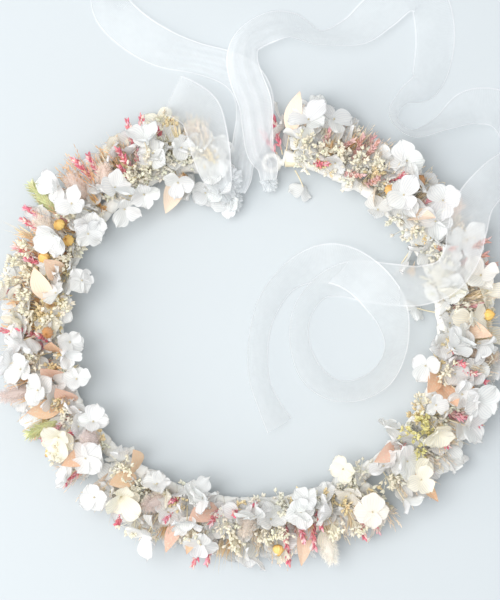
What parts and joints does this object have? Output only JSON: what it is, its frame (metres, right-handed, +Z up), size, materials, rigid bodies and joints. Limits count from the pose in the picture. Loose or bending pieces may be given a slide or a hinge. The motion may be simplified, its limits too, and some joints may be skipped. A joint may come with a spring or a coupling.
{
  "type": "flower crown",
  "caption": "Open head wreath of small dried flowers, leaves and grasses bound to a taped wire ring, with sheer ribbons tied to the end eyelets.",
  "frame": {"origin": "centre of the head opening, on the surface that the crown lies on", "axes": "+Z straight up through the head opening; the middle of the front is towards -Y and the tied opening at the back of the head is towards +Y"},
  "size_m": [0.2746, 0.329, 0.0466],
  "materials": {
    "tape": "matt crepe, wound in a spiral",
    "bound_stems": "dry plant stems, hidden in the tape",
    "wire": "plain, hidden in the tape",
    "end_loop": "matt tape over wire",
    "ribbon": "sheer organza with brighter woven edges",
    "hydrangea_florets": "dried translucent petals, white to pale cream",
    "ruscus_leaves": "dried leaf, peach to orange and coral",
    "heather_sprigs": "dried sprigs, pink to crimson",
    "broom_clusters": "dried clusters, cream to greenish yellow",
    "oat_spikelets": "dry husk, straw colour",
    "bunny_tails": "fine soft hairs, beige to mauve",
    "berry_buds": "dry bud, yellow to orange",
    "feather_grasses": "fine dry grass, cream",
    "phalaris_heads": "dry seed head, pale green"
  },
  "bodies": {
    "front": {"berry_buds_front": "berry_buds", "bound_stems_front": "bound_stems", "broom_clusters_front": "broom_clusters", "bunny_tails_front": "bunny_tails", "feather_grasses_front": "feather_grasses", "heather_sprigs_front": "heather_sprigs", "hydrangea_florets_front": "hydrangea_florets", "oat_spikelets_front": "oat_spikelets", "ruscus_leaves_front": "ruscus_leaves", "tape_front": "tape", "wire_front": "wire"},
    "left_arm": {"berry_buds_left": "berry_buds", "bound_stems_left": "bound_stems", "broom_clusters_left": "broom_clusters", "bunny_tails_left": "bunny_tails", "end_loop_left": "end_loop", "feather_grasses_left": "feather_grasses", "heather_sprigs_left": "heather_sprigs", "hydrangea_florets_left": "hydrangea_florets", "oat_spikelets_left": "oat_spikelets", "phalaris_heads_left": "phalaris_heads", "ribbon_knot_left": "ribbon", "ribbon_left": "ribbon", "ribbon_left_roll": "ribbon", "ribbon_left_tail": "ribbon", "ruscus_leaves_left": "ruscus_leaves", "tape_left": "tape", "wire_left": "wire"},
    "right_arm": {"berry_buds_right": "berry_buds", "bound_stems_right": "bound_stems", "broom_clusters_right": "broom_clusters", "bunny_tails_right": "bunny_tails", "end_loop_right": "end_loop", "feather_grasses_right": "feather_grasses", "heather_sprigs_right": "heather_sprigs", "hydrangea_florets_right": "hydrangea_florets", "oat_spikelets_right": "oat_spikelets", "ribbon_knot_right": "ribbon", "ribbon_right": "ribbon", "ruscus_leaves_right": "ruscus_leaves", "tape_right": "tape", "wire_right": "wire"}
  },
  "joints": [
    {"name": "left_flex", "type": "hinge", "parent": "front", "child": "left_arm", "pos_m": [-0.06561, -0.0683, 0.01], "axis": [0, 0, 1], "range_deg": [-1, 8], "stiffness_Nm_per_rad": 0.35},
    {"name": "right_flex", "type": "hinge", "parent": "front", "child": "right_arm", "pos_m": [0.06561, -0.0683, 0.01], "axis": [0, 0, -1], "range_deg": [-1, 8], "stiffness_Nm_per_rad": 0.35}
  ]
}
